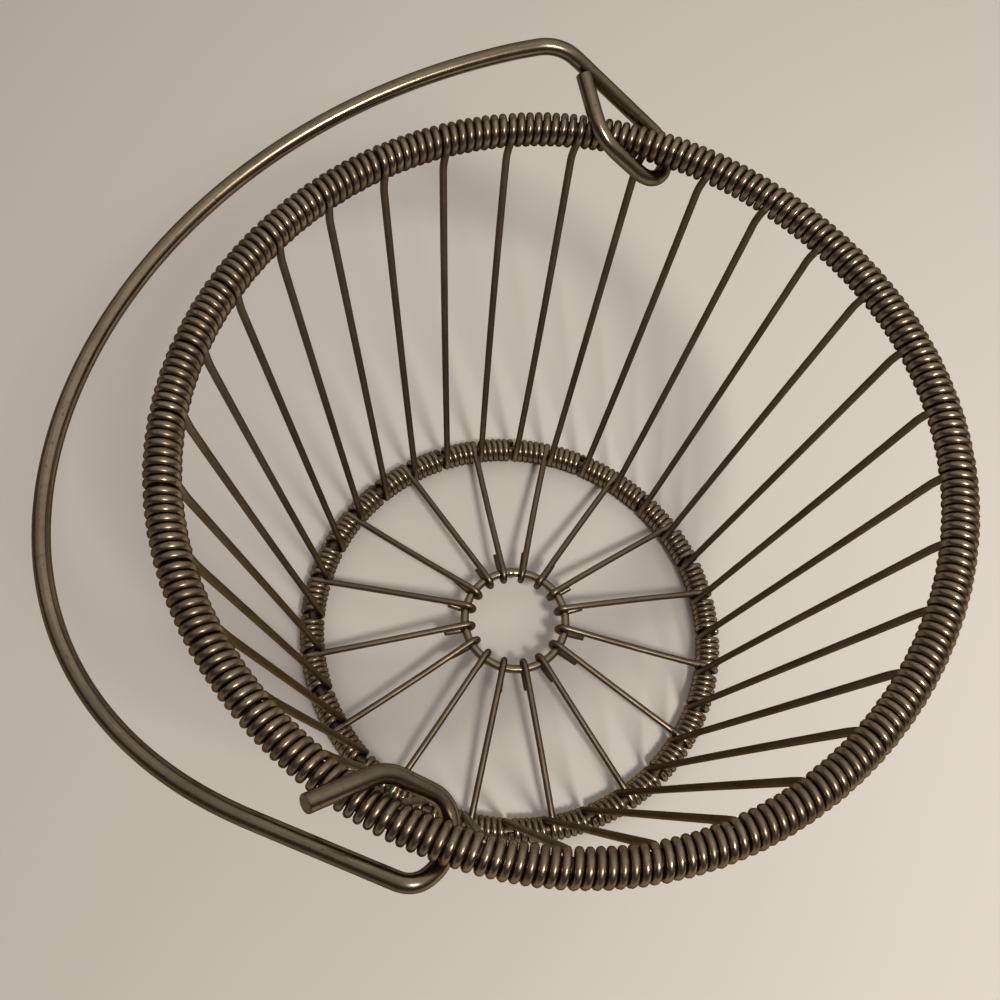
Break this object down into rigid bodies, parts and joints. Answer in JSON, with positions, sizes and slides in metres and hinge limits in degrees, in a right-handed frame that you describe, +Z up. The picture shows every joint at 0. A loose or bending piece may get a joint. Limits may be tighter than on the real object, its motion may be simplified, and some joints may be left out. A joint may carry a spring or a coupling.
{
  "type": "wire egg basket",
  "caption": "Round tapered wire basket: ribs wound round a rim hoop and a base hoop, floor spokes hooked to a centre ring, and a swinging bail handle.",
  "frame": {"origin": "on the basket's axis, in the plane that the base windings stand on", "axes": "+Z up along the basket's axis; Y along the bail's hinge line; the bail is folded down towards -X"},
  "size_m": [0.2577, 0.2481, 0.1833],
  "materials": {
    "hoop_wire": "thick drawn steel wire, satin, slightly warm grey",
    "rib_wire": "thin drawn steel wire, satin, slightly warm grey",
    "bail_wire": "thick drawn steel wire, semi-bright"
  },
  "bodies": {
    "basket": {"rim_hoop": "hoop_wire", "base_hoop": "hoop_wire", "centre_ring": "hoop_wire", "spoke_rib_01": "rib_wire", "spoke_rib_02": "rib_wire", "spoke_rib_03": "rib_wire", "spoke_rib_04": "rib_wire", "spoke_rib_05": "rib_wire", "spoke_rib_06": "rib_wire", "spoke_rib_07": "rib_wire", "spoke_rib_08": "rib_wire", "spoke_rib_09": "rib_wire", "spoke_rib_10": "rib_wire", "spoke_rib_11": "rib_wire", "spoke_rib_12": "rib_wire", "spoke_rib_13": "rib_wire", "spoke_rib_14": "rib_wire", "spoke_rib_15": "rib_wire", "spoke_rib_16": "rib_wire", "wall_rib_01": "rib_wire", "wall_rib_02": "rib_wire", "wall_rib_03": "rib_wire", "wall_rib_04": "rib_wire", "wall_rib_05": "rib_wire", "wall_rib_06": "rib_wire", "wall_rib_07": "rib_wire", "wall_rib_08": "rib_wire", "wall_rib_09": "rib_wire", "wall_rib_10": "rib_wire", "wall_rib_11": "rib_wire", "wall_rib_12": "rib_wire", "wall_rib_13": "rib_wire", "wall_rib_14": "rib_wire", "wall_rib_15": "rib_wire", "wall_rib_16": "rib_wire"},
    "bail": {"bail_handle": "bail_wire"}
  },
  "joints": [
    {"name": "bail_swing", "type": "hinge", "parent": "basket", "child": "bail", "pos_m": [0.0008, 0, 0.1537], "axis": [0, 1, 0], "range_deg": [0, 100]}
  ]
}
